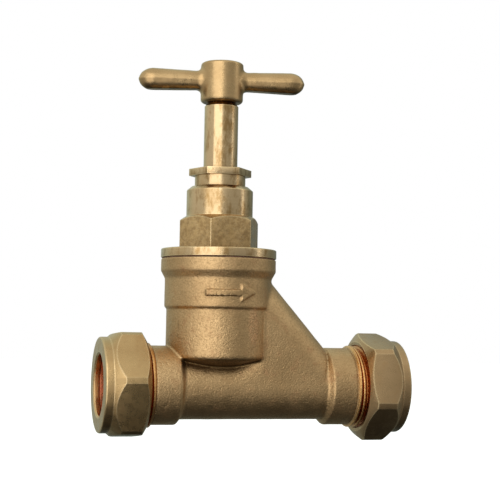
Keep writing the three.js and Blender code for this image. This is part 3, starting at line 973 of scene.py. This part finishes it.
def bored_inside(n):
    """1 in a compression nut's thread and bore, and 0 elsewhere on it."""
    x, y, z = n.axes()
    from_axis = n.from_axis(y, z)
    middle = (lo("inlet_nut").x + hi("outlet_nut").x) / 2
    mouth = hi("outlet_nut").x - middle
    from_middle = n.math("ABSOLUTE", n.math("SUBTRACT", x, middle))
    deep = n.ramp(from_middle, mouth - 1, mouth - 1.3)
    threaded = n.math("MULTIPLY", deep, n.ramp(from_axis, THREAD_CREST_R + 0.2, THREAD_CREST_R))
    return n.math("MAXIMUM", threaded, n.ramp(from_axis, PIPE_R + 0.25, PIPE_R + 0.05))


def forged_brass(name, shift, tints):
    """Hot-forged brass, tumbled to a satin: soft grain, dull patches, a painted highlight on its
    corners, painted shade in its hollows and in patches on faces turned down, and a painted
    reflection in its bore.
    """
    n = Nodes(name)
    crevices = n.crevices()
    broad = n.noise(0.12, 3.0, 0.55, shift=shift)
    blotch = n.noise(0.45, 4.0, 0.62, shift=shift + 5)
    grain = n.noise(4.5, 3.0, 0.65)
    color = n.mix(n.ramp(broad, 0.35, 0.7), *tints)
    color = n.mix(n.ramp(blotch, 0.52, 0.8, 0, 0.6), color, FORGED_STAIN)
    # Painted shade deep in corners.
    color = n.mix(n.math("MULTIPLY", crevices, 0.45), color, CORNER_SHADE)
    # Painted reflection of brass in the bore and thread, with painted shade in their corners.
    color = n.mix(bored_inside(n), color, n.mix(crevices, AMBER, SHADED_AMBER))
    # Painted shade in patches on faces turned down.
    under = n.math("MULTIPLY", n.facing_down(-0.6, -0.92), n.ramp(blotch, 0.38, 0.55, 0.35, 0.9))
    color = n.mix(under, color, SHADE_BROWN)
    # Painted highlight along edges and corners.
    color = n.mix(n.open_only(n.edge_highlight(0.5), crevices, 1.0), color, EDGE_TINT)
    uneven = n.ramp(grain, 0.3, 0.7, -0.04, 0.05)
    roughness = n.math("ADD", n.ramp(blotch, 0.35, 0.75, 0.26, 0.40), uneven)
    normal = n.bump(grain, 0.02)
    normal = n.bump(blotch, 0.03, over=normal)
    return n.finish(color, roughness, normal)


def olive_copper():
    """Turned copper, a little stained."""
    n = Nodes("olive_brass")
    lines = n.noise(7.0, 2.0, 0.6, vector=n.turning_place("X"))
    stain = n.noise(0.5, 3.0, 0.6)
    color = n.mix(n.ramp(stain, 0.35, 0.7), *COPPER_TINTS)
    return n.finish(color, n.ramp(stain, 0.3, 0.7, 0.2, 0.34), n.bump(lines, 0.02))


def fibre():
    """Pressed red-brown fibre."""
    n = Nodes("fibre")
    flecks = n.noise(2.5, 4.0, 0.7)
    color = n.mix(n.ramp(flecks, 0.35, 0.7), *FIBRE_TINTS)
    return n.finish(color, n.ramp(flecks, 0.3, 0.7, 0.7, 0.9), n.bump(flecks, 0.05), 0.0)


def packing():
    """Pale braided packing."""
    n = Nodes("packing")
    streaks = n.noise(1.5, 3.0, 0.6, vector=n.turning_place("Z"))
    color = n.mix(n.ramp(streaks, 0.35, 0.7), *PACKING_TINTS)
    return n.finish(color, n.ramp(streaks, 0.3, 0.7, 0.45, 0.6), n.bump(streaks, 0.04), 0.0)


def rubber():
    """Black rubber with a fine skin."""
    n = Nodes("rubber")
    skin = n.noise(3.0, 3.0, 0.6)
    color = n.mix(n.ramp(skin, 0.35, 0.7), *RUBBER_TINTS)
    return n.finish(color, n.ramp(skin, 0.3, 0.7, 0.6, 0.8), n.bump(skin, 0.03), 0.0)


def plain_floor():
    """Pale card, lit from within so that it stays as pale as the backdrop."""
    n = Nodes("floor")
    mottle = n.noise(0.02, 3.0, 0.5)
    color = n.mix(mottle, *CARD_TINTS)
    n.shader.inputs["Emission Color"].default_value = (1, 1, 1, 1)
    n.shader.inputs["Emission Strength"].default_value = 0.62
    return n.finish(color, n.ramp(mottle, 0.3, 0.7, 0.55, 0.65), None, 0.0)


# ---- the pieces ----

CAST = cast_brass()
TURNED = turned_brass("turned_brass")
BONNET_BRASS = turned_brass("bonnet_brass", (FLANGE_TOP, HEX_TOP - 0.5))
FORGED_INLET = forged_brass("forged_brass_inlet", 2.0, INLET_TINTS)
FORGED_OUTLET = forged_brass("forged_brass_outlet", 40.0, OUTLET_TINTS)
FORGED_HEAD = forged_brass("forged_brass_head", 80.0, HEAD_TINTS)
COPPER = olive_copper()
FIBRE = fibre()

# Each piece with the CAD node that it replaces, the body that it rides on and its slot.
PIECES = (
    (valve_body(), "valve_body", "valve_body", "cast_brass", CAST),
    (bonnet(), "bonnet", "valve_body", "turned_brass", BONNET_BRASS),
    (bonnet_washer(), "bonnet_washer", "valve_body", "fibre", FIBRE),
    (gland_nut(), "gland_nut", "gland_nut", "turned_brass", TURNED),
    (spindle(), "spindle", "spindle", "turned_brass", TURNED),
    (crutch_head(), "crutch_head", "spindle", "forged_brass", FORGED_HEAD),
    (compression_nut("inlet_compression_nut", "inlet_nut", -1, INLET_NUT_CORNER),
     "inlet_nut", "inlet_nut", "forged_brass", FORGED_INLET),
    (compression_nut("outlet_compression_nut", "outlet_nut", 1, OUTLET_NUT_CORNER),
     "outlet_nut", "outlet_nut", "forged_brass", FORGED_OUTLET),
    (olive("inlet_ring", "inlet_olive", -1),
     "inlet_olive", "inlet_olive", "olive_brass", COPPER),
    (olive("outlet_ring", "outlet_olive", 1),
     "outlet_olive", "outlet_olive", "olive_brass", COPPER),
)
for piece, node, body, slot, material in PIECES:
    piece.name = node + "_visual"
    piece.data.materials.clear()
    piece.data.materials.append(material)
    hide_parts(node)
    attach(piece, body)

KEPT = {
    "gland_follower": TURNED, "jumper": TURNED, "jumper_nut": TURNED, "jumper_washer": rubber(),
    "packing_ring_lower": packing(), "packing_ring_upper": packing(),
}
for node, material in KEPT.items():
    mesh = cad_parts[node].data
    mesh.materials.clear()
    mesh.materials.append(material)


# ---- floor, lights and camera ----

TARGET = Vector((8.167, 0, 34.217)) * MM
FLOOR_HALF = 3.0                    # metres
FLOOR_DROP = 0.075                  # metres below the pipe's axis
CAMERA_AZIMUTH, CAMERA_ELEVATION, CAMERA_ROLL = -16.036, -3.634, 1.023
CAMERA_DISTANCE = 317.098 * MM
CAMERA_LENS = 90.063
LAMP_DISTANCE = 0.6

# Name, azimuth, elevation, width and height in metres, power in watts.
SOFTBOXES = (
    ("front_panel", -37, 6, 0.62, 1.3, 2.85),
    ("front_strip", -17, 8, 0.02, 0.8, 0.055),
    ("right_strip", 72, 8, 0.07, 0.7, 0.17),
)

# The room that the brass reflects: light levels from straight down (0) to straight up (1).
ROOM_LEVELS = (
    (0.0, 0.05), (0.14, 0.07), (0.22, 0.28), (0.42, 0.44), (0.52, 0.6), (0.7, 0.82), (1.0, 0.8),
)
ROOM_TINT = (0.98, 1, 0.95)
# Azimuth, cosines where a lobe starts and is full, and its value outside and inside.
DIM_RIGHT = (44, 0.55, 0.97, 1, 0.62)
DIM_BEHIND = (128, 0.6, 0.95, 1, 0.4)
COOL_BEHIND = (164, 0.0, 0.8, 0, 1)
COOL_TINT = (0.78, 0.90, 0.85, 1)


def studio_floor():
    """A pale sheet under the valve that the brass itself doesn't reflect."""
    bm = bmesh.new()
    bmesh.ops.create_grid(bm, x_segments=1, y_segments=1, size=FLOOR_HALF)
    mesh = bpy.data.meshes.new("floor")
    bm.to_mesh(mesh)
    bm.free()
    floor = bpy.data.objects.new("floor", mesh)
    floor.location = (TARGET.x, 0, -FLOOR_DROP)
    floor.visible_glossy = False
    mesh.materials.append(plain_floor())
    bpy.context.scene.collection.objects.link(floor)


def direction(azimuth, elevation):
    """Unit vector from the valve; azimuth 0 is the front (-Y), positive towards +X."""
    a, e = math.radians(azimuth), math.radians(elevation)
    return Vector((math.sin(a) * math.cos(e), -math.cos(a) * math.cos(e), math.sin(e)))


def softbox(name, azimuth, elevation, width, height, power):
    """A rectangular lamp that faces the valve."""
    light = bpy.data.lights.new(name, "AREA")
    light.shape = "RECTANGLE"
    light.size, light.size_y = width, height
    light.energy = power
    lamp = bpy.data.objects.new(name, light)
    towards = direction(azimuth, elevation)
    lamp.location = TARGET + towards * LAMP_DISTANCE
    lamp.rotation_euler = towards.to_track_quat("Z", "Y").to_euler()
    bpy.context.scene.collection.objects.link(lamp)


def lobe(tree, place, azimuth, start, end, outside, inside):
    """A value that goes from outside to inside towards one side of the room."""
    towards = tree.nodes.new("ShaderNodeVectorMath")
    towards.operation = "DOT_PRODUCT"
    tree.links.new(place, towards.inputs[0])
    towards.inputs[1].default_value = direction(azimuth, 0)
    fall = tree.nodes.new("ShaderNodeMapRange")
    fall.interpolation_type = "SMOOTHSTEP"
    tree.links.new(towards.outputs["Value"], fall.inputs["Value"])
    fall.inputs["From Min"].default_value = start
    fall.inputs["From Max"].default_value = end
    fall.inputs["To Min"].default_value = outside
    fall.inputs["To Max"].default_value = inside
    return fall.outputs["Result"]


def room_color(tree, place):
    """Dim below and pale above, and slightly green behind."""
    split = tree.nodes.new("ShaderNodeSeparateXYZ")
    shift = tree.nodes.new("ShaderNodeMapRange")
    shift.inputs["From Min"].default_value = -1
    ramp = tree.nodes.new("ShaderNodeValToRGB")
    tree.links.new(place, split.inputs[0])
    tree.links.new(split.outputs["Z"], shift.inputs["Value"])
    tree.links.new(shift.outputs["Result"], ramp.inputs["Fac"])
    elements = ramp.color_ramp.elements
    while len(elements) < len(ROOM_LEVELS):
        elements.new(0.5)
    for element, (position, level) in zip(elements, ROOM_LEVELS):
        element.position = position
        element.color = (*(level * part for part in ROOM_TINT), 1)
    cool = tree.nodes.new("ShaderNodeMix")
    cool.data_type, cool.blend_type = "RGBA", "MULTIPLY"
    tree.links.new(lobe(tree, place, *COOL_BEHIND), cool.inputs["Factor"])
    tree.links.new(ramp.outputs["Color"], cool.inputs[6])
    cool.inputs[7].default_value = COOL_TINT
    return cool.outputs[2]


def studio_world():
    """White to the camera; to the brass, a room that is dimmer below, to the right and behind."""
    world = bpy.data.worlds.new("studio")
    bpy.context.scene.world = world
    world.use_nodes = True
    tree = world.node_tree
    tree.nodes.clear()
    place = tree.nodes.new("ShaderNodeTexCoord").outputs["Generated"]
    dim = tree.nodes.new("ShaderNodeMath")
    dim.operation = "MULTIPLY"
    tree.links.new(lobe(tree, place, *DIM_RIGHT), dim.inputs[0])
    tree.links.new(lobe(tree, place, *DIM_BEHIND), dim.inputs[1])
    room = tree.nodes.new("ShaderNodeBackground")
    tree.links.new(room_color(tree, place), room.inputs["Color"])
    tree.links.new(dim.outputs["Value"], room.inputs["Strength"])
    white = tree.nodes.new("ShaderNodeBackground")
    white.inputs["Color"].default_value = (1, 1, 1, 1)
    path = tree.nodes.new("ShaderNodeLightPath")
    blend = tree.nodes.new("ShaderNodeMixShader")
    tree.links.new(path.outputs["Is Camera Ray"], blend.inputs["Fac"])
    tree.links.new(room.outputs[0], blend.inputs[1])
    tree.links.new(white.outputs[0], blend.inputs[2])
    output = tree.nodes.new("ShaderNodeOutputWorld")
    tree.links.new(blend.outputs[0], output.inputs["Surface"])


def photo_camera():
    """The camera fitted to the photograph."""
    back = direction(CAMERA_AZIMUTH, CAMERA_ELEVATION)
    right = (-back).cross(Vector((0, 0, 1))).normalized()
    up = right.cross(-back)
    roll = math.radians(CAMERA_ROLL)
    turned_right = right * math.cos(roll) + up * math.sin(roll)
    turned_up = up * math.cos(roll) - right * math.sin(roll)
    data = bpy.data.cameras.new("camera")
    data.sensor_width = 36
    data.lens = CAMERA_LENS
    data.clip_start = 0.01
    camera = bpy.data.objects.new("camera", data)
    rotation = Matrix((turned_right, turned_up, back)).transposed().to_4x4()
    camera.matrix_world = Matrix.Translation(TARGET + back * CAMERA_DISTANCE) @ rotation
    bpy.context.scene.collection.objects.link(camera)
    bpy.context.scene.camera = camera


studio_floor()
studio_world()
for row in SOFTBOXES:
    softbox(*row)
photo_camera()
bpy.context.scene.view_settings.view_transform = "Standard"
